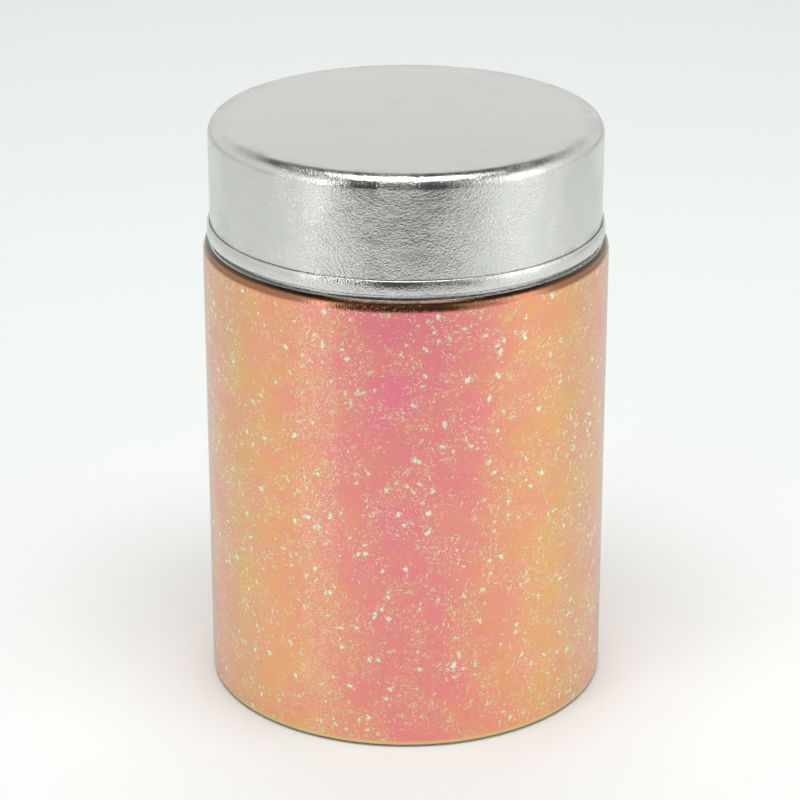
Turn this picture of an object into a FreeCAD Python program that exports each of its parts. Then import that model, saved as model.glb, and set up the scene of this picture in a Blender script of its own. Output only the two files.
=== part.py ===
"""Round slip-lid powder tin with a shaker insert, in millimetres.

The axis of the tin is +Z and its foot stands on Z = 0. The front faces -Y, and the side seam is at the back.
Most pieces are pressed from one sheet, so each is given as a path through the middle of the sheet with the
radius of every bend. Each separate piece is written to parts/NAME.step.
"""

import FreeCAD
import Part
import math
import os

# ---- driving sizes ---------------------------------------------------------------------------------------

tin_radius = 38.0  # over the colour film
tin_height = 111.2  # standing height with the lid on
sheet = 0.28  # gauge of the tinplate in the body, lid, neck, base and shaker cup

# Lid
lid_height = 21.9
lid_inset = 1.32  # how far the lid's skirt stands inside the wall of the tin
lid_corner = 2.55  # outer radius of the drawn top edge
lid_reveal = 0.7  # open joint between the foot of the lid and the shoulder
lid_hem_height = 2.8  # folded band round the foot of the lid
lid_hem_gap = 0.3  # air inside that fold
lid_hem_lean = 0.2  # how far the upper half of the band leans in towards the skirt
lid_hem_crown = 8.0  # radius of the bend between the band's two halves
lid_clearance = 0.3  # radial play of the lid on the neck
liner_thickness = 1.2
liner_clearance = 0.1  # liner to the inside of the lid's drawn corner
seat_gap = 0.25  # play between the liner and the flange of the shaker

# Body
shoulder_radius = 2.8  # outer radius of the rolled shoulder
shoulder_slope = 50.0  # lean of the shoulder's upper part from the wall, in degrees
foot_radius = 1.3  # outer radius of the wall's bottom edge
fold_bend = 0.17  # inside radius of a tight fold
seam_width = 5.0  # side seam, lapped inside the wall
seam_margin = 0.5  # the seam stops this far short of the base and the neck

# Colour film
film_thickness = 0.1
film_foot = 0.4  # height of the film's lower edge, on the foot's curve
film_tuck = 0.1  # from the film's upper edge to the fold into the collar
film_lap = 6.0  # width of the film's lap at the back

# Base
seal_thickness = 1.0  # sealing compound in the bottom fold
base_recess = 3.7  # height of the base's outer ring above the foot
base_bend = 0.4  # inside radius of the base's bends
base_step_inset = 6.6  # wall to the raised centre panel
base_step_width = 1.0
base_step_height = 0.9

# Neck
neck_depth = 4.8  # how far the neck reaches down inside the shoulder
neck_hem_height = 2.5  # rim of the neck, folded inwards and down
neck_hem_gap = 0.1  # air inside that fold
neck_foot_clearance = 0.3  # clenched foot of the neck to the wall

# Shaker cup
shaker_depth = 9.0  # flange of the cup down to its perforated floor
shaker_fit = 0.1  # radial play of the cup in the neck
shaker_seat = 0.05  # flange to the rim of the neck
shaker_flange_inset = 0.2  # edge of the flange inside the outer face of the neck
shaker_bend = 0.6  # inside radius of the cup's bends
holes_per_ring = 12
hole_diameter = 2.4
hole_ring_pitch = 5.9  # radial step from one ring of holes to the next
hole_edge_margin = 6.0  # edge of the shutter to the outermost ring
hole_land = 0.5  # metal left between an open hole and a closed one
stop_width = 2.0
stop_depth = 1.1  # radial size of the stop
stop_height = 1.4

# Shutter
shutter_thickness = 0.3
shutter_margin = 6.0  # wall of the cup to the edge of the shutter
shutter_gap = 0.1  # floor of the cup to the shutter
notch_depth = 2.4
notch_play = 0.4  # each side of the stop at the ends of its travel
tab_width = 8.0
tab_reach = 1.2  # how far the finger tab stands outside the disc
tab_height = 4.2
tab_bend = 0.4  # inside radius of the tab's bend

# Rivet and washer
rivet_radius = 1.6
rivet_play = 0.06  # running fit of the shutter and the washer on the rivet
rivet_head_radius = 3.6
rivet_head_height = 1.0
rivet_tail_radius = 2.8
rivet_tail_height = 0.7
washer_radius = 5.2
washer_thickness = 0.2
washer_rise = 0.35  # how much the dished washer lifts towards the rivet
washer_gap = 0.1  # shutter to the washer's rim

# ---- places that follow from them ------------------------------------------------------------------------

half_sheet = sheet / 2
tight_fold = fold_bend + half_sheet
wall_outer = tin_radius - film_thickness
wall_middle = wall_outer - half_sheet
wall_inner = wall_outer - sheet
lid_foot = tin_height - lid_height
shoulder_top = lid_foot - lid_reveal - film_thickness
shoulder_middle = shoulder_top - half_sheet
lid_radius = tin_radius - lid_inset
lid_inner = lid_radius - sheet
neck_radius = lid_inner - lid_clearance
neck_inner = neck_radius - sheet
collar_middle = neck_radius + half_sheet
liner_top = tin_height - sheet
liner_foot = liner_top - liner_thickness
flange_top = liner_foot - seat_gap
flange_middle = flange_top - half_sheet
neck_top = flange_top - sheet - shaker_seat
neck_foot = shoulder_top - neck_depth
neck_fold = (sheet + neck_hem_gap) / 2
neck_mouth = neck_inner - neck_hem_gap - sheet  # inside the folded rim
shaker_middle = neck_mouth - shaker_fit - half_sheet
shaker_inner = shaker_middle - half_sheet
shaker_top = flange_top - shaker_depth
shaker_foot = shaker_top - sheet
shutter_foot = shaker_top + shutter_gap
shutter_top = shutter_foot + shutter_thickness
shutter_radius = shaker_inner - shutter_margin
shutter_turn = 180 / holes_per_ring
hem_middle = wall_inner - sheet - seal_thickness - half_sheet
hem_top = base_recess - base_bend  # the fold and its seal stop where the base bends into its flange
foot_bend = min(foot_radius - half_sheet, wall_middle - hem_middle - tight_fold)
half_slope = math.radians(shoulder_slope / 2)
shoulder_width = wall_middle - collar_middle
shoulder_rise = shoulder_width / math.tan(2 * half_slope)
fold_reach = tight_fold / math.tan(half_slope)  # from the fold at the top of the shoulder to its corner point
shoulder_corner = shoulder_middle - tight_fold + fold_reach
shoulder_room = shoulder_width / math.sin(2 * half_slope) - fold_reach - film_tuck
shoulder_bend = min(shoulder_radius - film_thickness - half_sheet, shoulder_room / math.tan(half_slope))

origin = FreeCAD.Vector(0, 0, 0)
up = FreeCAD.Vector(0, 0, 1)
back = 90  # direction of the seam, the lap and the stop, in degrees from +X
front = -90  # direction of the finger tab


# ---- building blocks -------------------------------------------------------------------------------------


def point(r, z):
    """A point of a section, r from the axis and z above the foot, in the XZ plane."""
    return FreeCAD.Vector(r, 0, z)


def line(start, end):
    """Straight edge between two points."""
    return Part.LineSegment(start, end).toShape()


def left_of(direction):
    """The direction a quarter turn to the left of a direction in the section plane."""
    return FreeCAD.Vector(-direction.z, 0, direction.x)


def offset_edges(path, shift):
    """The path moved to its left by shift, with an arc at each bend, as a list of edges."""
    corners = [point(r, z) for r, z, _ in path]
    runs = [(b - a).normalize() for a, b in zip(corners, corners[1:])]
    edges = []
    start = corners[0] + left_of(runs[0]) * shift
    for i, (before, after) in enumerate(zip(runs, runs[1:]), start=1):
        bend = path[i][2]
        turn = 1 if left_of(before).dot(after) > 0 else -1
        set_back = bend * math.tan(before.getAngle(after) / 2)
        centre = corners[i] - before * set_back + left_of(before) * (bend * turn)
        spokes = [left_of(before), (left_of(before) + left_of(after)).normalize(), left_of(after)]
        first, middle, last = [centre + spoke * (shift - bend * turn) for spoke in spokes]
        if start.distanceToPoint(first) > 1e-6:
            edges.append(line(start, first))
        edges.append(Part.Arc(first, middle, last).toShape())
        start = last
    end = corners[-1] + left_of(runs[-1]) * shift
    if start.distanceToPoint(end) > 1e-6:
        edges.append(line(start, end))
    return edges


def layer(path, near, far):
    """Section of a layer that lies between two distances to the left of a path of (r, z, bend radius)."""
    one = offset_edges(path, near)
    other = offset_edges(path, far)
    ends = [
        line(one[0].firstVertex(True).Point, other[0].firstVertex(True).Point),
        line(one[-1].lastVertex(True).Point, other[-1].lastVertex(True).Point),
    ]
    return Part.Face(Part.Wire(Part.__sortEdges__(one + other + ends)))


def folded_sheet(path, gauge=sheet):
    """Section of a folded sheet with the path through its middle."""
    return layer(path, -gauge / 2, gauge / 2)


def section(points):
    """Section with straight edges through (r, z) points."""
    corners = [point(r, z) for r, z in points]
    return Part.Face(Part.makePolygon(corners + corners[:1]))


def block(inner, outer, foot, top):
    """Rectangular section between two radii and two heights."""
    return section([(inner, foot), (outer, foot), (outer, top), (inner, top)])


def turned(face):
    """Solid made by turning a section once round the axis."""
    return face.revolve(origin, up, 360)


def at_angle(shape, degrees):
    """A copy of a shape turned about the axis."""
    copy = shape.copy()
    copy.rotate(origin, up, degrees)
    return copy


def swept(face, first, last):
    """Solid made by sweeping a section round the axis between two angles in degrees."""
    return at_angle(face, first).revolve(origin, up, last - first)


def swept_width(face, width, radius, direction):
    """Solid made by sweeping a section over an arc of a given width, centred on a direction."""
    half_angle = math.degrees(width / radius) / 2
    return swept(face, direction - half_angle, direction + half_angle)


# ---- lid -------------------------------------------------------------------------------------------------


def lid_shell():
    """Drawn cap: flat top, rounded corner, straight skirt and a band folded outwards round its foot."""
    skirt = lid_radius - half_sheet
    band = skirt + sheet + lid_hem_gap
    fold = (band - skirt) / 2
    path = [
        (0, tin_height - half_sheet, 0),
        (skirt, tin_height - half_sheet, lid_corner - half_sheet),
        (skirt, lid_foot + half_sheet, fold),
        (band, lid_foot + half_sheet, fold),
        (band, lid_foot + lid_hem_height / 2, lid_hem_crown),
        (band - lid_hem_lean, lid_foot + lid_hem_height, 0),
    ]
    return turned(folded_sheet(path))


def lid_liner():
    """Soft disc under the lid's top, its edge shaped to lie in the drawn corner."""
    hollow = Part.makeCylinder(lid_inner - liner_clearance, lid_height, point(0, liner_top - lid_height), up)
    top_edge = max(hollow.Edges, key=lambda edge: edge.CenterOfMass.z)
    slab = turned(block(0, lid_radius, liner_foot, liner_top))
    return hollow.makeFillet(lid_corner - sheet, [top_edge]).common(slab)


# ---- body ------------------------------------------------------------------------------------------------


def body_shell():
    """Rolled wall with its shoulder turned in and down round the neck, and its foot folded in and up."""
    path = [
        (hem_middle, hem_top, 0),
        (hem_middle, half_sheet, tight_fold),
        (wall_middle, half_sheet, foot_bend),
        (wall_middle, shoulder_corner - shoulder_rise, shoulder_bend),
        (collar_middle, shoulder_corner, tight_fold),
        (collar_middle, neck_foot + sheet + fold_bend, 0),
    ]
    lap = block(wall_inner - sheet, wall_middle, base_recess + sheet + seam_margin, neck_foot - seam_margin)
    return turned(folded_sheet(path)).fuse(swept_width(lap, seam_width, wall_inner, back)).removeSplitter()


def colour_film():
    """Film bonded to the outside of the wall, foot and shoulder, its end lapped over its start at the back."""
    short = fold_reach + film_tuck
    path = [
        (hem_middle, half_sheet, 0),
        (wall_middle, half_sheet, foot_bend),
        (wall_middle, shoulder_corner - shoulder_rise, shoulder_bend),
        (collar_middle + short * math.sin(2 * half_slope), shoulder_corner - short * math.cos(2 * half_slope), 0),
    ]
    inside = -half_sheet
    wrap = turned(layer(path, inside, inside - film_thickness))
    lap = layer(path, inside - film_thickness / 2, inside - 2 * film_thickness)
    film = wrap.fuse(swept_width(lap, film_lap, tin_radius, back))
    below = Part.makeCylinder(2 * tin_radius, film_foot + tin_radius, point(0, -tin_radius), up)
    return film.cut(below).removeSplitter()


# ---- base ------------------------------------------------------------------------------------------------


def base_end():
    """Pressed base: raised centre panel, outer ring and a flange turned down into the bottom fold."""
    bend = base_bend + half_sheet
    panel = base_recess + half_sheet
    step = wall_inner - base_step_inset
    path = [
        (0, panel + base_step_height, 0),
        (step - base_step_width, panel + base_step_height, bend),
        (step, panel, bend),
        (wall_inner - half_sheet, panel, bend),
        (wall_inner - half_sheet, foot_radius, 0),
    ]
    return turned(folded_sheet(path))


def base_seal():
    """Ring of sealing compound between the base's flange and the folded foot of the wall."""
    outer = wall_inner - sheet
    return turned(block(outer - seal_thickness, outer, foot_radius, hem_top))


# ---- neck and shaker -------------------------------------------------------------------------------------


def neck_ring():
    """Upright neck that the lid slides on: rim folded inwards, foot clenched outwards under the shoulder."""
    upright = neck_radius - half_sheet
    path = [
        (upright - 2 * neck_fold, neck_top - neck_hem_height, 0),
        (upright - 2 * neck_fold, neck_top - half_sheet, neck_fold),
        (upright, neck_top - half_sheet, neck_fold),
        (upright, neck_foot + half_sheet, tight_fold),
        (wall_inner - neck_foot_clearance, neck_foot + half_sheet, 0),
    ]
    return turned(folded_sheet(path))


def hole_rings():
    """Radii of the rings of holes, inwards from the shutter's edge while half a step still closes them."""
    smallest = (hole_diameter + hole_land) / (2 * math.sin(math.radians(shutter_turn / 2)))
    room = shutter_radius - hole_edge_margin - smallest
    count = 1 + max(0, math.floor(room / hole_ring_pitch))
    return [shutter_radius - hole_edge_margin - i * hole_ring_pitch for i in range(count)]


def shaker_holes(foot, top, first):
    """Cutters for every hole, with the first hole of each ring at an angle in degrees."""
    cutters = []
    for radius in hole_rings():
        cutter = Part.makeCylinder(hole_diameter / 2, top - foot, point(radius, foot), up)
        cutters += [at_angle(cutter, first + k * 360 / holes_per_ring) for k in range(holes_per_ring)]
    return cutters


def shaker_cup():
    """Drawn cup that hangs in the neck by its flange: perforated floor with a small stop for the shutter."""
    bend = shaker_bend + half_sheet
    path = [
        (0, shaker_top - half_sheet, 0),
        (shaker_middle, shaker_top - half_sheet, bend),
        (shaker_middle, flange_middle, tight_fold),
        (neck_radius - shaker_flange_inset, flange_middle, 0),
    ]
    stop = block(shutter_radius - stop_depth, shutter_radius, shaker_foot + half_sheet, shaker_top + stop_height)
    cup = turned(folded_sheet(path)).fuse(swept_width(stop, stop_width, shutter_radius, back))
    rivet_hole = Part.makeCylinder(rivet_radius, 3 * sheet, point(0, shaker_foot - sheet), up)
    holes = shaker_holes(shaker_foot - sheet, shaker_top + sheet, 0)
    return cup.cut(holes + [rivet_hole]).removeSplitter()


def shutter_disc():
    """Turning disc on the cup's floor: closed as built, open once it turns by half a step of the holes."""
    middle = shutter_foot + shutter_thickness / 2
    tab_radius = shutter_radius + tab_reach
    bend = tab_bend + shutter_thickness / 2
    tab_path = [
        (tab_radius - 3 * bend, middle, 0),
        (tab_radius, middle, bend),
        (tab_radius, shutter_top + tab_height, 0),
    ]
    tab = folded_sheet(tab_path, shutter_thickness).extrude(FreeCAD.Vector(0, tab_width, 0))
    tab.translate(FreeCAD.Vector(0, -tab_width / 2, 0))
    disc = Part.makeCylinder(shutter_radius, shutter_thickness, point(0, shutter_foot), up)
    below = shutter_foot - shutter_thickness
    above = shutter_top + shutter_thickness
    half_notch = math.degrees((stop_width / 2 + notch_play) / shutter_radius)
    notch_section = block(shutter_radius - notch_depth, shutter_radius + notch_depth, below, above)
    notch = swept(notch_section, back - shutter_turn - half_notch, back + half_notch)
    rivet_hole = Part.makeCylinder(rivet_radius + rivet_play, above - below, point(0, below), up)
    holes = shaker_holes(below, above, -shutter_turn)
    return disc.fuse(at_angle(tab, front)).cut(holes + [notch, rivet_hole]).removeSplitter()


def friction_washer():
    """Dished washer under the rivet's head that presses the shutter down."""
    bore = rivet_radius + rivet_play
    rim = shutter_top + washer_gap
    path = [(washer_radius, rim, 0), (bore, rim + washer_rise, 0)]
    return turned(layer(path, 0, -washer_thickness))


def pivot_rivet():
    """Rivet with a domed head above the washer and a flat tail closed under the floor of the cup."""
    seat = shutter_top + washer_gap + washer_rise + washer_thickness
    sphere = (rivet_head_radius**2 + rivet_head_height**2) / (2 * rivet_head_height)
    lean = math.asin(rivet_head_radius / sphere) / 2
    crown = point(0, seat + rivet_head_height)
    slope = point(sphere * math.sin(lean), crown.z - sphere + sphere * math.cos(lean))
    tail = shaker_foot - rivet_tail_height
    corners = [
        point(rivet_head_radius, seat),
        point(rivet_radius, seat),
        point(rivet_radius, shaker_foot),
        point(rivet_tail_radius, shaker_foot),
        point(rivet_tail_radius, tail),
        point(0, tail),
        crown,
    ]
    edges = [line(a, b) for a, b in zip(corners, corners[1:])]
    edges.append(Part.Arc(crown, slope, corners[0]).toShape())
    return turned(Part.Face(Part.Wire(edges)))


# ---- writing ---------------------------------------------------------------------------------------------


def write(name, shape):
    """Checks that a piece is one sound closed solid and writes it under its own name."""
    if not shape.isValid() or len(shape.Solids) != 1 or not shape.Solids[0].isClosed():
        raise ValueError(f"{name} is not one sound closed solid")
    shape.exportStep(f"parts/{name}.step")
    box = shape.optimalBoundingBox(False)
    print(f"{name:16s} {shape.Volume:9.1f} mm3  radius {box.XMax:6.2f}  z {box.ZMin:7.2f} to {box.ZMax:7.2f}")


def main():
    os.makedirs("parts", exist_ok=True)
    for make in (
        lid_shell,
        lid_liner,
        body_shell,
        colour_film,
        base_end,
        base_seal,
        neck_ring,
        shaker_cup,
        shutter_disc,
        friction_washer,
        pivot_rivet,
    ):
        write(make.__name__, make())
    print("shutter turns", shutter_turn, "degrees; rings of holes at", hole_rings())


main()
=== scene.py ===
# %% [markdown]
# # A round powder tin with a slip lid
# This lesson dresses a finished CAD model of a small tin for a product picture. The CAD parts arrive as
# fixed meshes, each riding on the body that it moves with. What Blender adds is the finish: satin tinplate
# that shows how it was pressed, and a film on the wall that changes colour as it turns away from the eye.

# %% Load the model
import math

import bmesh
import bpy
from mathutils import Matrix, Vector, noise


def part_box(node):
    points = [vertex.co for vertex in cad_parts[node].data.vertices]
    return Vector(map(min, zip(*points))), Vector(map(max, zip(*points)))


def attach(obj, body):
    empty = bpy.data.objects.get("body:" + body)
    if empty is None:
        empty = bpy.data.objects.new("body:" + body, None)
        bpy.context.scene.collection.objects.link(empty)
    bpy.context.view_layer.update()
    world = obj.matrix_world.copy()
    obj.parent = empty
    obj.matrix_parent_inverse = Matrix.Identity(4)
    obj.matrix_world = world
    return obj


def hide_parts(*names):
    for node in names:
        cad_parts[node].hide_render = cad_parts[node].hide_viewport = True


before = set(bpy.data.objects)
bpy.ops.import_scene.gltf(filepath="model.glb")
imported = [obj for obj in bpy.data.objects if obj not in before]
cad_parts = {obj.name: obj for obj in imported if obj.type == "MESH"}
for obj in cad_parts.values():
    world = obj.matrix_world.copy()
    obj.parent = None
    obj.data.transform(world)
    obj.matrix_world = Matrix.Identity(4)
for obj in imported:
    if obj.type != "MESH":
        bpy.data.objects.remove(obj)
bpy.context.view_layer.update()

print("parts:", sorted(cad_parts))

# %% [markdown]
# ## Sizes
# Every size is in metres. The large ones are read from the CAD parts, so the finish can't drift away from
# the design. The small ones, such as the gauge of the sheet, can't be read from a box and are named here.

# %% Sizes of the tin
mm = 0.001
sheet = 0.28 * mm
tin_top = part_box("lid_shell")[1].z
lid_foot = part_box("lid_shell")[0].z
lid_band_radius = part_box("lid_shell")[1].x
lid_corner = 2.55 * mm
lid_band_height = 2.8 * mm
lid_band_gap = 0.3 * mm
lid_radius = lid_band_radius - sheet - lid_band_gap
film_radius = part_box("colour_film")[1].x
film_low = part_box("colour_film")[0].z
film_thickness = 0.1 * mm
foot_radius = 1.3 * mm
shoulder_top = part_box("body_shell")[1].z
shoulder_radius = 2.8 * mm
shoulder_slope = math.radians(50)
collar_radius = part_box("shaker_cup")[1].x + 0.2 * mm
print("collar radius", round(collar_radius / mm, 2), "mm, shoulder at", round(shoulder_top / mm, 2), "mm")
print("lid radius", round(lid_radius / mm, 2), "mm, film radius", round(film_radius / mm, 2), "mm")

# %% [markdown]
# ## The view
# A product picture is taken from a little above with a long lens, so that the sides of the tin stay nearly
# parallel. The camera stands half a metre away and looks down at 22 degrees.

# %% Camera
camera_away = 0.531
camera_height = 0.271
camera_tilt = math.radians(22.19)
camera_data = bpy.data.cameras.new("product_camera")
camera_data.lens = 134.7
camera_data.sensor_width = 36.0
camera_data.shift_x = -0.0075
camera_data.shift_y = 0.00125
camera = bpy.data.objects.new("product_camera", camera_data)
camera.location = (0.0, -camera_away, camera_height)
camera.rotation_euler = (math.radians(90) - camera_tilt, 0.0, 0.0)
bpy.context.collection.objects.link(camera)
bpy.context.scene.camera = camera
bpy.context.scene.view_settings.view_transform = "Standard"

# %% [markdown]
# ## Building materials with nodes
# A material is a small network of nodes. Three helpers keep that network readable: one adds a node and
# fills its sockets, one does arithmetic, and one stretches a range of values into another with soft ends.


# %% Node helpers
def add(tree, kind, inputs=None, **options):
    """Adds a node. inputs gives its sockets by name or number, as values or as other nodes' outputs."""
    made = tree.nodes.new(kind)
    for option, value in options.items():
        setattr(made, option, value)
    for socket, value in (inputs or {}).items():
        if isinstance(value, bpy.types.NodeSocket):
            tree.links.new(value, made.inputs[socket])
        else:
            made.inputs[socket].default_value = value
    return made


def calc(tree, operation, *values):
    """Arithmetic on numbers."""
    return add(tree, "ShaderNodeMath", dict(enumerate(values)), operation=operation).outputs[0]


def vector_calc(tree, operation, *values):
    """Arithmetic on vectors."""
    return add(tree, "ShaderNodeVectorMath", dict(enumerate(values)), operation=operation).outputs[0]


def spread(tree, value, low, high, to_low=0.0, to_high=1.0):
    """Turns the range low to high into another range, with soft ends."""
    inputs = {"Value": value, "From Min": low, "From Max": high, "To Min": to_low, "To Max": to_high}
    return add(tree, "ShaderNodeMapRange", inputs, interpolation_type="SMOOTHSTEP").outputs[0]


def blend_colours(tree, share, first, second):
    """First colour where share is 0, second where it is 1. The colour sockets of this node are 6 and 7."""
    return add(tree, "ShaderNodeMix", {0: share, 6: first, 7: second}, data_type="RGBA").outputs[2]


def new_material(name, **shader_values):
    """A material with one Principled shader, set with the given plain values."""
    material = bpy.data.materials.new(name)
    material.use_nodes = True
    shader = material.node_tree.nodes["Principled BSDF"]
    for socket, value in shader_values.items():
        shader.inputs[socket.replace("_", " ")].default_value = value
    return material, material.node_tree, shader


def new_group(name, inputs, outputs):
    """An empty node group with named sockets. Returns its tree and its two end nodes."""
    tree = bpy.data.node_groups.new(name, "ShaderNodeTree")
    for socket, kind, value in inputs:
        made = tree.interface.new_socket(socket, in_out="INPUT", socket_type=kind)
        if value is not None:
            made.default_value = value
    for socket, kind in outputs:
        tree.interface.new_socket(socket, in_out="OUTPUT", socket_type=kind)
    return tree, tree.nodes.new("NodeGroupInput").outputs, tree.nodes.new("NodeGroupOutput").inputs


def use_group(tree, group, inputs):
    """Places a group in a material with its own values and returns its outputs."""
    made = tree.nodes.new("ShaderNodeGroup")
    made.node_tree = group
    for socket, value in inputs.items():
        if isinstance(value, bpy.types.NodeSocket):
            tree.links.new(value, made.inputs[socket])
        else:
            made.inputs[socket].default_value = value
    return made.outputs


FLOAT, VECTOR = "NodeSocketFloat", "NodeSocketVector"

# %% [markdown]
# ## Places on a round tin
# Texture on a round wall is easiest to lay out as if the sheet were still flat. This group unrolls the
# wall: it turns a point into its distance round the tin from the front and its height, both in millimetres.


# %% Group: unrolled sheet
def make_unrolled_sheet():
    tree, given, result = new_group("unrolled_sheet", [("Radius", FLOAT, 38.0)], [("Place", VECTOR)])
    spot = add(tree, "ShaderNodeTexCoord").outputs["Object"]
    parts = add(tree, "ShaderNodeSeparateXYZ", {0: spot}).outputs
    turn = calc(tree, "ARCTAN2", parts["X"], calc(tree, "MULTIPLY", parts["Y"], -1.0))
    around = calc(tree, "MULTIPLY", turn, given["Radius"])
    height = calc(tree, "MULTIPLY", parts["Z"], 1.0 / mm)
    place = add(tree, "ShaderNodeCombineXYZ", {"X": around, "Y": height})
    tree.links.new(place.outputs[0], result["Place"])
    return tree


unrolled_sheet = make_unrolled_sheet()
print("made group", unrolled_sheet.name)

# %% [markdown]
# ## The grain of tinplate
# Tinplate isn't a mirror. The rolls leave fine straight lines in it, and drawing the sheet over a punch
# strains the skirt and crinkles its surface, so a reflection there breaks up into small bright and dark
# grains. One group makes both as a height for a bump, and a faint mottle for colour. The flat part in the
# middle of a lid or a cup isn't strained, so the crinkles fade towards the axis, and Flat Radius says from
# where.


# %% Group: pressed sheet
def make_pressed_sheet():
    inputs = [
        ("Grain Size", FLOAT, 0.5),
        ("Grain", FLOAT, 1.0),
        ("Lines", FLOAT, 0.3),
        ("Flat Radius", FLOAT, 30.0),
        ("Flat Grain", FLOAT, 0.15),
    ]
    tree, given, result = new_group("pressed_sheet", inputs, [("Height", FLOAT), ("Mottle", FLOAT)])
    spot = add(tree, "ShaderNodeTexCoord").outputs["Object"]
    place = vector_calc(tree, "MULTIPLY", spot, (1 / mm, 1 / mm, 1 / mm))
    scale = calc(tree, "DIVIDE", 1.0, given["Grain Size"])
    crinkle_inputs = {"Vector": place, "Scale": scale, "Detail": 3.0, "Roughness": 0.55, "Distortion": 0.6}
    crinkle = add(tree, "ShaderNodeTexNoise", crinkle_inputs)
    flat = vector_calc(tree, "MULTIPLY", place, (1, 1, 0))
    from_axis = add(tree, "ShaderNodeVectorMath", {0: flat}, operation="LENGTH").outputs["Value"]
    fully_strained = calc(tree, "ADD", given["Flat Radius"], 6.0)
    strained = spread(tree, from_axis, given["Flat Radius"], fully_strained, given["Flat Grain"], 1.0)
    uneven = add(tree, "ShaderNodeTexNoise", {"Vector": place, "Scale": 0.16, "Detail": 2.0}).outputs[0]
    strained = calc(tree, "MULTIPLY", strained, spread(tree, uneven, 0.30, 0.70, 0.35, 1.25))
    full_grain = calc(tree, "MULTIPLY", crinkle.outputs[0], given["Grain"])
    grain_height = calc(tree, "MULTIPLY", full_grain, strained)
    stretched = vector_calc(tree, "MULTIPLY", place, (0.12, 3.0, 3.0))
    line_inputs = {"Vector": stretched, "Scale": 1.0, "Detail": 3.0, "Roughness": 0.7}
    lines = add(tree, "ShaderNodeTexNoise", line_inputs)
    line_height = calc(tree, "MULTIPLY", lines.outputs[0], given["Lines"])
    tree.links.new(calc(tree, "ADD", grain_height, line_height), result["Height"])
    slow_inputs = {"Vector": stretched, "Scale": 0.4, "Detail": 4.0, "Roughness": 0.65}
    slow = add(tree, "ShaderNodeTexNoise", slow_inputs)
    tree.links.new(spread(tree, slow.outputs[0], 0.3, 0.7), result["Mottle"])
    return tree


pressed_sheet = make_pressed_sheet()
print("made group", pressed_sheet.name)

# %% [markdown]
# ## Marks from making and from hands
# Pressed and spun discs carry fine rings from the tool, and hands leave soft smudges that are a little
# rougher than clean metal. Both turn up on several parts, so each is a group of its own.


# %% Groups: tool rings and hand marks
def make_tool_rings():
    tree, given, result = new_group("tool_rings", [("Ring Width", FLOAT, 0.4)], [("Height", FLOAT)])
    spot = add(tree, "ShaderNodeTexCoord").outputs["Object"]
    flat = vector_calc(tree, "MULTIPLY", spot, (1 / mm, 1 / mm, 0))
    from_axis = add(tree, "ShaderNodeVectorMath", {0: flat}, operation="LENGTH").outputs["Value"]
    step = calc(tree, "DIVIDE", from_axis, given["Ring Width"])
    rings = add(tree, "ShaderNodeTexNoise", {"W": step, "Scale": 1.0, "Detail": 2.0}, noise_dimensions="1D")
    tree.links.new(rings.outputs[0], result["Height"])
    return tree


def make_hand_marks():
    inputs = [("Size", FLOAT, 12.0), ("Amount", FLOAT, 1.0)]
    tree, given, result = new_group("hand_marks", inputs, [("Mask", FLOAT)])
    spot = add(tree, "ShaderNodeTexCoord").outputs["Object"]
    place = vector_calc(tree, "MULTIPLY", spot, (1 / mm, 1 / mm, 1 / mm))
    scale = calc(tree, "DIVIDE", 1.0, given["Size"])
    broad_inputs = {"Vector": place, "Scale": scale, "Detail": 2.0, "Distortion": 1.0}
    broad = add(tree, "ShaderNodeTexNoise", broad_inputs)
    ridge_inputs = {"Vector": place, "Scale": 1.6, "Detail": 2.0, "Distortion": 2.0}
    ridges = add(tree, "ShaderNodeTexNoise", ridge_inputs)
    smudge = spread(tree, broad.outputs[0], 0.52, 0.70)
    grease = spread(tree, ridges.outputs[0], 0.35, 0.65, 0.6, 1.0)
    tree.links.new(
        calc(tree, "MULTIPLY", calc(tree, "MULTIPLY", smudge, grease), given["Amount"]), result["Mask"]
    )
    return tree


tool_rings = make_tool_rings()
hand_marks = make_hand_marks()
print("made groups", tool_rings.name, hand_marks.name)

# %% [markdown]
# ## Flakes
# The wall carries thousands of chips and hairs of foil. Each cell of a Voronoi texture has one point in it,
# so a cell can carry one flake: the group turns the space round that point by a random angle and keeps what
# lies inside a small ellipse. A noise bends the space first, which curls the hairs and roughens the chips.
# Sizes, shape and how many cells carry a flake are inputs, so one group makes them all.


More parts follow.
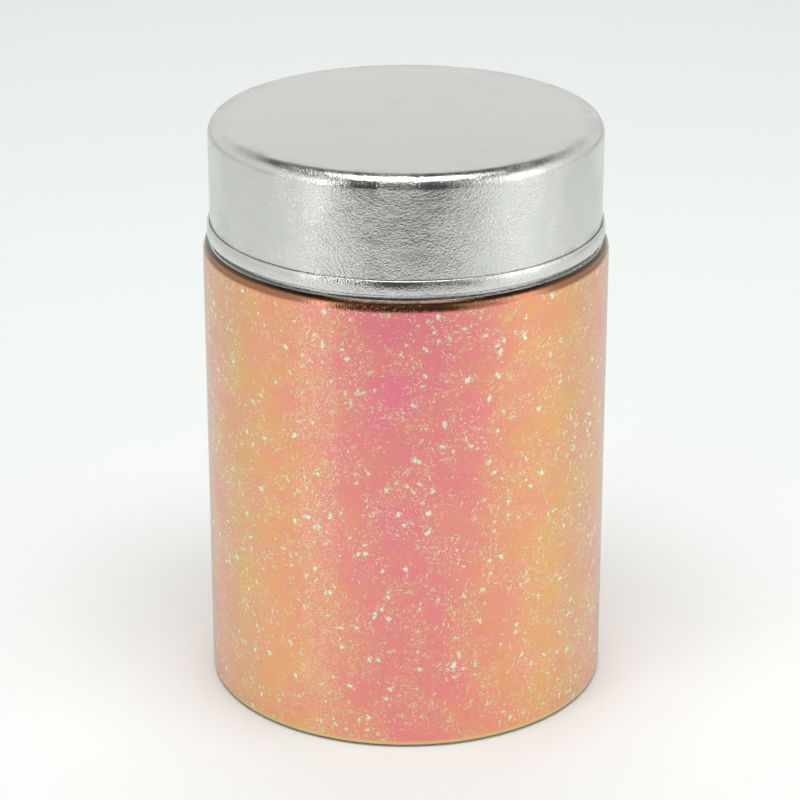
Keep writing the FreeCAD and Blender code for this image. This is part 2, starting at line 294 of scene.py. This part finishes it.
# %% Group: scattered flakes
def make_scattered_flakes():
    inputs = [
        ("Place", VECTOR, None),
        ("Cell", FLOAT, 1.5),
        ("Length", FLOAT, 0.4),
        ("Width", FLOAT, 0.2),
        ("Share", FLOAT, 0.5),
        ("Bend", FLOAT, 0.2),
        ("Bend Scale", FLOAT, 1.1),
        ("Softness", FLOAT, 0.2),
    ]
    tree, given, result = new_group("scattered_flakes", inputs, [("Mask", FLOAT), ("Shade", FLOAT)])
    bend_inputs = {"Vector": given["Place"], "Scale": given["Bend Scale"], "Detail": 1.0}
    wobble = add(tree, "ShaderNodeTexNoise", bend_inputs).outputs["Color"]
    centred = vector_calc(tree, "SUBTRACT", wobble, (0.5, 0.5, 0.5))
    bend = add(tree, "ShaderNodeVectorMath", {0: centred, "Scale": given["Bend"]}, operation="SCALE")
    place = vector_calc(tree, "ADD", given["Place"], bend.outputs[0])
    scale = calc(tree, "DIVIDE", 1.0, given["Cell"])
    cells = add(tree, "ShaderNodeTexVoronoi", {"Vector": place, "Scale": scale}, voronoi_dimensions="2D")
    offset = vector_calc(tree, "SUBTRACT", place, cells.outputs["Position"])
    chance = add(tree, "ShaderNodeSeparateColor", {0: cells.outputs["Color"]}).outputs
    angle = calc(tree, "MULTIPLY", chance["Red"], math.tau)
    turned = add(tree, "ShaderNodeVectorRotate", {"Vector": offset, "Angle": angle}, rotation_type="Z_AXIS")
    parts = add(tree, "ShaderNodeSeparateXYZ", {0: turned.outputs[0]}).outputs
    size = calc(tree, "MULTIPLY", given["Cell"], calc(tree, "ADD", chance["Green"], 0.4))
    along = calc(tree, "DIVIDE", parts["X"], calc(tree, "MULTIPLY", size, given["Length"]))
    across = calc(tree, "DIVIDE", parts["Y"], calc(tree, "MULTIPLY", size, given["Width"]))
    squares = calc(tree, "ADD", calc(tree, "POWER", along, 2.0), calc(tree, "POWER", across, 2.0))
    far = calc(tree, "SQRT", squares)
    inside = spread(tree, far, 1.0, calc(tree, "SUBTRACT", 1.0, given["Softness"]))
    carried = calc(tree, "LESS_THAN", chance["Blue"], given["Share"])
    tree.links.new(calc(tree, "MULTIPLY", inside, carried), result["Mask"])
    mixed = calc(tree, "MULTIPLY", calc(tree, "ADD", chance["Red"], chance["Green"]), 7.3)
    shade = calc(tree, "FRACT", mixed)
    tree.links.new(shade, result["Shade"])
    return tree


scattered_flakes = make_scattered_flakes()
print("made group", scattered_flakes.name)

# %% [markdown]
# ## The colour film
# The film is a clear layer less than half a thousandth of a millimetre thick over a bright backing. Light
# that bounces off its two faces meets again and some colours cancel, which ones depending on the slant. The
# Principled shader works this out by itself once it has a film thickness, and a high IOR for the backing
# makes the colour strong. So the material paints no colour by angle: it lays the flakes, from the broad
# soft blots underneath to the white chips on top. It also paints in light and shade. A vertical band left of
# the front gets extra pale flakes as a painted glint, where the left strip's reflection runs up the wall. The
# shoulder under the lid is painted dark copper, and nearly black at the gap, as painted shade.


# %% Material: colour film
flake_kinds = [
    # name, cell, length, width, (least, most, extra share in the painted glint), bend, bend scale, softness,
    # strength, two colours
    ("blots", 2.1, 0.36, 0.26, (0.05, 0.75, 0.0), 1.3, 1.2, 0.75, 0.50,
     (0.80, 0.50, 0.14), (0.66, 0.72, 0.30)),
    ("specks", 0.42, 0.42, 0.15, (0.30, 0.80, 0.2), 0.25, 2.5, 0.60, 0.65,
     (0.96, 0.50, 0.40), (0.96, 0.62, 0.52)),
    ("painted glints", 0.36, 0.42, 0.22, (0.0, 0.0, 0.8), 0.3, 2.5, 0.50, 0.75,
     (0.98, 0.70, 0.62), (1.0, 0.90, 0.86)),
    ("scratches", 7.0, 0.16, 0.012, (0.35, 0.35, 0.0), 1.0, 0.8, 0.50, 0.70,
     (0.40, 0.03, 0.05), (0.50, 0.08, 0.08)),
    ("short hairs", 0.66, 0.42, 0.095, (0.12, 0.90, 0.2), 0.7, 1.6, 0.45, 1.00,
     (0.95, 0.62, 0.34), (0.99, 0.92, 0.76)),
    ("long hairs", 1.15, 0.42, 0.070, (0.12, 0.85, 0.0), 1.0, 1.1, 0.45, 1.00,
     (0.97, 0.74, 0.48), (0.98, 0.95, 0.86)),
    ("chips", 2.1, 0.27, 0.12, (0.02, 0.42, 0.0), 1.6, 2.0, 0.25, 1.00,
     (0.86, 0.86, 0.76), (0.97, 0.95, 0.97)),
]
# Painted glint: a vertical band left of the front, where the left strip's reflection runs up the wall, gets
# extra pale flakes.
painted_glint_at = -16.5  # millimetres round the wall from the front
painted_glint_half_width = 5.0
pink, salmon = (0.93, 0.05, 0.21, 1), (0.90, 0.13, 0.13, 1)
plain_foot_tan = (0.86, 0.42, 0.24, 1)
# Painted shade: the film over the shoulder turns dark copper, and nearly black at the gap under the lid.
painted_shoulder_shade = (0.46, 0.17, 0.10, 1)
painted_gap_shade = (0.06, 0.03, 0.025, 1)


def make_film_finish():
    material, tree, shader = new_material(
        "film_finish", IOR=5.0, Thin_Film_Thickness=386.0, Thin_Film_IOR=1.65,
        Coat_Weight=0.5, Coat_Roughness=0.15, Coat_IOR=1.2,
    )
    shader.inputs["Coat Tint"].default_value = (0.75, 1.0, 0.75, 1)
    place = use_group(tree, unrolled_sheet, {"Radius": film_radius / mm})["Place"]
    patch_inputs = {"Vector": place, "Scale": 0.14, "Detail": 2.0, "Roughness": 0.5}
    patch_noise = add(tree, "ShaderNodeTexNoise", patch_inputs)
    patches = spread(tree, patch_noise.outputs[0], 0.38, 0.56)
    tint_inputs = {"Vector": place, "Scale": 0.12, "Detail": 3.0, "Roughness": 0.6}
    tint_noise = add(tree, "ShaderNodeTexNoise", tint_inputs)
    tint = spread(tree, tint_noise.outputs[0], 0.36, 0.64)
    parts = add(tree, "ShaderNodeSeparateXYZ", {0: place}).outputs
    height = parts["Y"]
    above_foot = spread(tree, height, foot_radius / mm - 0.2, foot_radius / mm + 0.3)
    # The band over the shoulder. Below, it is painted dark copper as shade, and it also makes the film more
    # metallic and smoother.
    stretched = spread(tree, height, shoulder_top / mm - 2.2, shoulder_top / mm - 1.4)
    colour = blend_colours(tree, tint, pink, salmon)
    masks = {}
    # Painted glint: the band where the flakes get their extra share.
    from_painted_glint = calc(tree, "ABSOLUTE", calc(tree, "SUBTRACT", parts["X"], painted_glint_at))
    painted_glint_band = spread(tree, from_painted_glint, painted_glint_half_width, painted_glint_half_width / 2)
    for name, cell, length, width, shares, bend, bend_scale, softness, strength, dark, pale in flake_kinds:
        least, most, extra = shares
        share = calc(tree, "MULTIPLY_ADD", patches, most - least, least)
        inputs = {
            "Place": place, "Cell": cell, "Length": length, "Width": width,
            "Share": calc(tree, "MULTIPLY_ADD", painted_glint_band, extra, share),
            "Bend": bend, "Bend Scale": bend_scale, "Softness": softness,
        }
        found = use_group(tree, scattered_flakes, inputs)
        masks[name] = calc(tree, "MULTIPLY", found["Mask"], above_foot)
        flake_colour = blend_colours(tree, found["Shade"], (*dark, 1), (*pale, 1))
        colour = blend_colours(tree, calc(tree, "MULTIPLY", masks[name], strength), colour, flake_colour)
    colour = blend_colours(tree, calc(tree, "SUBTRACT", 0.85, above_foot), colour, plain_foot_tan)
    # Painted shade: the shoulder band under the lid turns dark copper.
    colour = blend_colours(tree, stretched, colour, painted_shoulder_shade)
    # Painted shade: nearly black at the top of the shoulder, in the gap under the lid.
    painted_gap_shade_mask = spread(tree, height, shoulder_top / mm - 0.9, shoulder_top / mm - 0.45, 0.0, 0.9)
    colour = blend_colours(tree, painted_gap_shade_mask, colour, painted_gap_shade)
    tree.links.new(colour, shader.inputs["Base Color"])
    hairs = calc(tree, "MAXIMUM", masks["short hairs"], masks["long hairs"])
    foil = calc(tree, "MAXIMUM", masks["chips"], calc(tree, "MULTIPLY", hairs, 0.7))
    metallic = calc(tree, "MAXIMUM", spread(tree, foil, 0.0, 1.0, 0.15, 0.85), stretched)
    tree.links.new(metallic, shader.inputs["Metallic"])
    upright = vector_calc(tree, "MULTIPLY", place, (3.0, 0.06, 1.0))
    lines = add(tree, "ShaderNodeTexNoise", {"Vector": upright, "Scale": 1.0, "Detail": 3.0}).outputs[0]
    smudges = use_group(tree, hand_marks, {"Size": 15.0, "Amount": 0.05})["Mask"]
    rough = calc(tree, "ADD", spread(tree, lines, 0.3, 0.7, 0.30, 0.40), smudges)
    rough = calc(tree, "MULTIPLY", rough, calc(tree, "MULTIPLY_ADD", stretched, -0.5, 1.0))
    tree.links.new(rough, shader.inputs["Roughness"])
    pebble = add(tree, "ShaderNodeTexNoise", {"Vector": place, "Scale": 3.2, "Detail": 2.0}).outputs[0]
    relief = calc(tree, "ADD", foil, calc(tree, "MULTIPLY", lines, 0.35))
    relief = calc(tree, "ADD", relief, calc(tree, "MULTIPLY", pebble, 0.45))
    bump = add(tree, "ShaderNodeBump", {"Height": relief, "Distance": 0.06 * mm, "Strength": 1.0})
    tree.links.new(bump.outputs[0], shader.inputs["Normal"])
    return material


film_finish = make_film_finish()
print("made material", film_finish.name, "with", len(flake_kinds), "kinds of flake")

# %% [markdown]
# ## Tinplate finishes
# The metal parts are cut from tinplate or from its near relations, so one function makes all their
# materials and only the colour, the roughness and the marks of making differ from part to part.


# %% Materials: metal
def make_metal(name, colour, roughness, grain=(0.45, 1.0), lines=0.05, flat_radius=30.0, rings=0.0, coat=0.0):
    """Grain is the size of the crinkles in millimetres and their strength."""
    material, tree, shader = new_material(name, Metallic=1.0, Coat_Weight=coat, Coat_Roughness=0.12)
    inputs = {"Grain Size": grain[0], "Grain": grain[1], "Lines": lines, "Flat Radius": flat_radius}
    sheet_look = use_group(tree, pressed_sheet, inputs)
    smudges = use_group(tree, hand_marks, {"Size": 14.0, "Amount": 1.0})["Mask"]
    warm = (*[c * k for c, k in zip(colour, (1.02, 1.0, 0.985))], 1)
    cool = (*[c * k for c, k in zip(colour, (0.985, 0.99, 1.0))], 1)
    clean = blend_colours(tree, sheet_look["Mottle"], warm, cool)
    dull = (*[c * 0.9 for c in colour], 1)
    colour = blend_colours(tree, calc(tree, "MULTIPLY", smudges, 0.3), clean, dull)
    low_down = add(tree, "ShaderNodeSeparateXYZ", {0: add(tree, "ShaderNodeTexCoord").outputs["Object"]})
    # Painted shade: the colour turns dark brown below 1.2 mm, where the tin meets the floor.
    painted_foot_shade = spread(tree, low_down.outputs["Z"], 1.2 * mm, 0.4 * mm)
    colour = blend_colours(tree, calc(tree, "MULTIPLY", painted_foot_shade, 0.8), colour, (0.20, 0.11, 0.06, 1))
    tree.links.new(colour, shader.inputs["Base Color"])
    rough = spread(tree, sheet_look["Mottle"], 0.0, 1.0, roughness * 0.93, roughness * 1.07)
    tree.links.new(calc(tree, "MULTIPLY_ADD", smudges, 0.03, rough), shader.inputs["Roughness"])
    turned = use_group(tree, tool_rings, {"Ring Width": 0.35})["Height"]
    height = calc(tree, "MULTIPLY_ADD", turned, rings, sheet_look["Height"])
    bump = add(tree, "ShaderNodeBump", {"Height": height, "Distance": 0.1 * mm, "Strength": 1.0})
    tree.links.new(bump.outputs[0], shader.inputs["Normal"])
    return material


lid_finish = make_metal("lid_finish", (0.665, 0.675, 0.635), 0.11, grain=(0.36, 1.15))
metal_finishes = {
    "body_shell": make_metal("wall_finish", (0.70, 0.70, 0.68), 0.28, grain=(0.5, 0.5), lines=0.1),
    "neck_ring": make_metal("neck_finish", (0.74, 0.74, 0.73), 0.20, grain=(0.45, 0.6), lines=0.1),
    "shaker_cup": make_metal("shaker_finish", (0.74, 0.74, 0.73), 0.24, grain=(0.4, 0.8), rings=0.06),
    "shutter_disc": make_metal("shutter_finish", (0.66, 0.66, 0.67), 0.30, grain=(0.4, 0.4), rings=0.14),
    "friction_washer": make_metal("washer_finish", (0.45, 0.45, 0.47), 0.32, rings=0.10),
    "pivot_rivet": make_metal("rivet_finish", (0.80, 0.80, 0.80), 0.34, grain=(0.3, 0.7), rings=0.05),
    "base_end": make_metal("base_finish", (0.80, 0.71, 0.50), 0.26, grain=(0.5, 0.6), lines=0.1, coat=0.6),
}
for node, finish in metal_finishes.items():
    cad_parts[node].material_slots[0].material = finish
    print(node, "gets", finish.name)

# %% [markdown]
# ## Soft parts
# Two parts aren't metal: the foam disc in the lid, cut from closed-cell sheet, and the ring of sealing
# compound that ran into the bottom fold and set there. Cells of a Voronoi texture make the foam's skin, and
# a slow noise makes the compound's uneven flow.


# %% Materials: foam and sealing compound
def make_soft(name, colour, roughness, cell, depth):
    material, tree, shader = new_material(name, Specular_IOR_Level=0.3)
    spot = add(tree, "ShaderNodeTexCoord").outputs["Object"]
    place = vector_calc(tree, "MULTIPLY", spot, (1 / mm, 1 / mm, 1 / mm))
    cells = add(tree, "ShaderNodeTexVoronoi", {"Vector": place, "Scale": 1 / cell}).outputs["Distance"]
    stains = add(tree, "ShaderNodeTexNoise", {"Vector": place, "Scale": 0.12, "Detail": 4.0}).outputs[0]
    light = (*[c * 1.04 for c in colour], 1)
    dark = (*[c * 0.88 for c in colour], 1)
    shade = calc(tree, "MULTIPLY_ADD", cells, 0.35, spread(tree, stains, 0.3, 0.7, 0.0, 0.6))
    tree.links.new(blend_colours(tree, shade, light, dark), shader.inputs["Base Color"])
    smudges = use_group(tree, hand_marks, {"Size": 9.0, "Amount": 0.12})["Mask"]
    tree.links.new(calc(tree, "SUBTRACT", roughness, smudges), shader.inputs["Roughness"])
    bump = add(tree, "ShaderNodeBump", {"Height": cells, "Distance": depth * mm, "Strength": 1.0})
    tree.links.new(bump.outputs[0], shader.inputs["Normal"])
    return material


soft_finishes = {
    "lid_liner": make_soft("foam_finish", (0.84, 0.83, 0.79), 0.85, 0.35, 0.08),
    "base_seal": make_soft("compound_finish", (0.34, 0.36, 0.38), 0.55, 1.6, 0.15),
}
for node, finish in soft_finishes.items():
    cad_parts[node].material_slots[0].material = finish
    print(node, "gets", finish.name)

# %% [markdown]
# ## Turned sheet
# A pressed lid is round, so its mesh is a section turned about the axis. The section is drawn as the real
# sheet is folded: a path through the middle of the sheet with a radius at each bend, thickened to both
# sides.


# %% Section helpers
def bend_path(corners, steps=10):
    """Points along a path of (r, z, bend radius), corners rounded, and the direction at each point."""
    spots = [Vector((r, z)) for r, z, _ in corners]
    line = [(spots[0], (spots[1] - spots[0]).normalized())]
    for i in range(1, len(spots) - 1):
        before = (spots[i] - spots[i - 1]).normalized()
        after = (spots[i + 1] - spots[i]).normalized()
        bend = corners[i][2]
        turn = before.angle_signed(after) * -1
        set_back = bend * math.tan(abs(turn) / 2)
        side = Vector((-before.y, before.x)) * math.copysign(1, turn)
        centre = spots[i] - before * set_back + side * bend
        for k in range(steps + 1):
            angle = turn * k / steps
            cos, sin = math.cos(angle), math.sin(angle)
            spoke = side * -1
            arm = Vector((spoke.x * cos - spoke.y * sin, spoke.x * sin + spoke.y * cos))
            way = Vector((before.x * cos - before.y * sin, before.x * sin + before.y * cos))
            line.append((centre + arm * bend, way))
    line.append((spots[-1], (spots[-1] - spots[-2]).normalized()))
    return line


def sheet_section(corners, near, far, steps=10):
    """Closed section of a layer between two distances to the left of a path."""
    line = bend_path(corners, steps)
    one = [spot + Vector((-way.y, way.x)) * near for spot, way in line]
    other = [spot + Vector((-way.y, way.x)) * far for spot, way in line]
    return one + other[::-1]


def turn_section(name, section_at, angles, material):
    """Turns a closed section about the axis. section_at gives its points at an angle from the front."""
    mesh = bmesh.new()
    rings = []
    for angle in angles:
        way = Vector((math.sin(angle), -math.cos(angle), 0))
        rings.append([mesh.verts.new(way * spot.x + Vector((0, 0, spot.y))) for spot in section_at(angle)])
    for first, second in zip(rings, rings[1:] + rings[:1]):
        for k in range(len(first)):
            n = (k + 1) % len(first)
            mesh.faces.new([first[k], first[n], second[n], second[k]])
    bmesh.ops.remove_doubles(mesh, verts=mesh.verts, dist=1e-7)
    bmesh.ops.recalc_face_normals(mesh, faces=mesh.faces)
    for face in mesh.faces:
        face.smooth = True
    data = bpy.data.meshes.new(name)
    mesh.to_mesh(data)
    mesh.free()
    data.materials.append(material)
    data.set_sharp_from_angle(angle=math.radians(50))
    piece = bpy.data.objects.new(name, data)
    bpy.context.collection.objects.link(piece)
    print(name, len(data.vertices), "points")
    return piece


even_angles = [math.tau * k / 256 for k in range(256)]

# %% [markdown]
# ## The lid
# The lid is drawn from one disc. Its skirt ends in a band folded outwards, so that the raw edge of the
# sheet lies outside and above the fold, where it catches a thin bright line of light. The band's upper half
# leans in towards the skirt. A drawn lid is never quite round: a slow noise moves the skirt by a few
# hundredths of a millimetre, enough to make the reflections wander. The middle of the disc stays flat.

# %% Lid
half_sheet = sheet / 2
skirt_middle = lid_radius - half_sheet
band_middle = lid_band_radius - half_sheet
fold = (band_middle - skirt_middle) / 2
band_lean = 0.2 * mm
band_crown = 8 * mm
lid_path = [
    (0, tin_top - half_sheet, 0),
    (skirt_middle, tin_top - half_sheet, lid_corner - half_sheet),
    (skirt_middle, lid_foot + half_sheet, fold),
    (band_middle, lid_foot + half_sheet, fold),
    (band_middle, lid_foot + lid_band_height / 2, band_crown),
    (band_middle - band_lean, lid_foot + lid_band_height, 0),
]
lid_section = sheet_section(lid_path, -half_sheet, half_sheet)
raw_edge = len(lid_section) // 2 - 1
edge_round = 0.10 * mm
corner, inner_corner = lid_section[raw_edge], lid_section[raw_edge + 1]
lid_section[raw_edge:raw_edge + 1] = [
    corner - Vector((0, edge_round)),
    corner + (inner_corner - corner).normalized() * edge_round,
]
unevenness = 0.03 * mm


def uneven_lid(angle):
    """The lid's section at one angle, with its skirt a little out of round."""
    around = Vector((math.sin(angle), math.cos(angle), 0)) * 2.2
    moved = []
    for spot in lid_section:
        share = max(0.0, spot.x / skirt_middle - 0.9) * 10
        shift = noise.noise(around + Vector((0, 0, spot.y / (9 * mm)))) - 0.5 if share else 0.0
        moved.append(spot + Vector((shift * share * unevenness, 0)))
    return moved


lid = turn_section("drawn_lid", uneven_lid, even_angles, lid_finish)
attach(lid, "lid")
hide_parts("lid_shell")

# %% [markdown]
# ## The film on the wall
# The film follows the outside of the wall from the curve of the foot to the slope of the shoulder. Its end
# is lapped over its start at the back, so a strip there stands higher by the thickness of the film. Two
# close rings of points at each edge of the strip keep that step sharp.

# %% Film
tight_fold = 0.17 * mm + half_sheet
collar_middle = collar_radius + half_sheet
wall_middle = film_radius - film_thickness - half_sheet
fold_reach = tight_fold / math.tan(shoulder_slope / 2)
shoulder_corner = shoulder_top - half_sheet - tight_fold + fold_reach
shoulder_rise = (wall_middle - collar_middle) / math.tan(shoulder_slope)
slope_run = fold_reach + 0.1 * mm
wall_path = [
    (film_radius - 6 * foot_radius, half_sheet, 0),
    (wall_middle, half_sheet, foot_radius - half_sheet),
    (wall_middle, shoulder_corner - shoulder_rise, shoulder_radius - film_thickness - half_sheet),
    (
        collar_middle + slope_run * math.sin(shoulder_slope),
        shoulder_corner - slope_run * math.cos(shoulder_slope),
        0,
    ),
]
film_line = [(spot, Vector((way.y, -way.x))) for spot, way in bend_path(wall_path, 12)]
film_line = [(spot, out) for spot, out in film_line if (spot + out * half_sheet).y > film_low]
lap_width = 6.0 * mm
lap_angle = lap_width / film_radius / 2


def film_section(angle):
    """The film's section at one angle, thicker inside the lap at the back."""
    lapped = abs(angle - math.pi) < lap_angle
    thickness = film_thickness * (1.85 if lapped else 1.0)
    inner = [spot + out * half_sheet for spot, out in film_line]
    return [spot + out * (half_sheet + thickness) for spot, out in film_line] + inner[::-1]


lap_edges = [math.pi + side * lap_angle * share for side in (-1, 1) for share in (0.995, 1.005)]
film = turn_section("colour_shift_film", film_section, sorted(even_angles + lap_edges), film_finish)
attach(film, "tin")
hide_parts("colour_film")

# %% [markdown]
# ## Floor and light
# The tin stands on a pale sweep in a bright tent. A tall strip at the left and a soft box at the right
# shape the wall, and one overhead draws the bright line round the edge of the lid. One more lights the
# floor behind.


# %% Floor
def make_floor():
    mesh = bmesh.new()
    bmesh.ops.create_grid(mesh, x_segments=8, y_segments=8, size=3.0)
    data = bpy.data.meshes.new("floor")
    mesh.to_mesh(data)
    mesh.free()
    floor = bpy.data.objects.new("floor", data)
    bpy.context.collection.objects.link(floor)
    material, tree, shader = new_material("pale_floor", Roughness=0.6)
    shader.inputs["Base Color"].default_value = (0.875, 0.915, 0.895, 1)
    data.materials.append(material)


make_floor()


# %% Lights
def softbox(name, azimuth, elevation, distance, width, height, power):
    """A soft box at an angle from the front, aimed at the middle of the tin."""
    data = bpy.data.lights.new(name, "AREA")
    data.shape = "RECTANGLE"
    data.size, data.size_y = width, height
    data.energy = power
    light = bpy.data.objects.new(name, data)
    a, e = math.radians(azimuth), math.radians(elevation)
    away = Vector((math.sin(a) * math.cos(e), -math.cos(a) * math.cos(e), math.sin(e)))
    light.location = Vector((0, 0, tin_top / 2)) + away * distance
    light.rotation_euler = (-away).to_track_quat("-Z", "Y").to_euler()
    bpy.context.collection.objects.link(light)
    print(name, power, "W")
    return light


softbox("left_strip", -47, 12, 0.8, 0.10, 0.6, 0.7)
softbox("right_box", 68, 15, 0.8, 0.35, 0.6, 0.9)
softbox("top_box", 0, 76, 0.9, 0.7, 0.42, 5.2)
softbox("back_fill", 180, 50, 1.3, 0.9, 0.9, 3.4).visible_glossy = False


# %% [markdown]
# ## Grey cards
# Bright metal shows whatever stands round it, so two grey cards at the camera's side give the front of the
# lid its darker tone. The lying card is what the upright skirt reflects, and the standing one darkens the
# curved edges. Only reflections see them: they cast no shadow and aren't in the picture.


# %% Cards
def card(name, corners, shade):
    """A grey card through four corners, seen only by reflections."""
    data = bpy.data.meshes.new(name)
    data.from_pydata(corners, [], [(0, 1, 2, 3)])
    material, tree, shader = new_material(name, Roughness=1.0)
    shader.inputs["Base Color"].default_value = (shade, shade, shade, 1)
    data.materials.append(material)
    made = bpy.data.objects.new(name, data)
    made.visible_camera = False
    made.visible_diffuse = False
    made.visible_shadow = False
    bpy.context.collection.objects.link(made)


low = 2 * mm
lying = [(-0.16, -0.16, low), (0.11, -0.16, low), (0.11, -0.42, low), (-0.16, -0.42, low)]
standing = [(-0.40, -0.42, 0.0), (0.30, -0.42, 0.0), (0.30, -0.60, 0.80), (-0.40, -0.60, 0.80)]
card("lying_card", lying, 0.88)
card("standing_card", standing, 0.06)

# %% [markdown]
# ## The tent
# The tent is bright at eye level and dark overhead. The dark part is what draws the thin dark line behind
# the highlight on the lid's edge.

# %% Tent
world = bpy.data.worlds.new("tent")
bpy.context.scene.world = world
world.use_nodes = True
tent = world.node_tree
direction = add(tent, "ShaderNodeTexCoord").outputs["Generated"]
upward = add(tent, "ShaderNodeSeparateXYZ", {0: direction}).outputs["Z"]
wall_light = spread(tent, upward, 0.58, 0.70, 0.86, 0.13)
tent.links.new(wall_light, tent.nodes["Background"].inputs["Strength"])
tent.nodes["Background"].inputs["Color"].default_value = (1, 1, 1, 1)
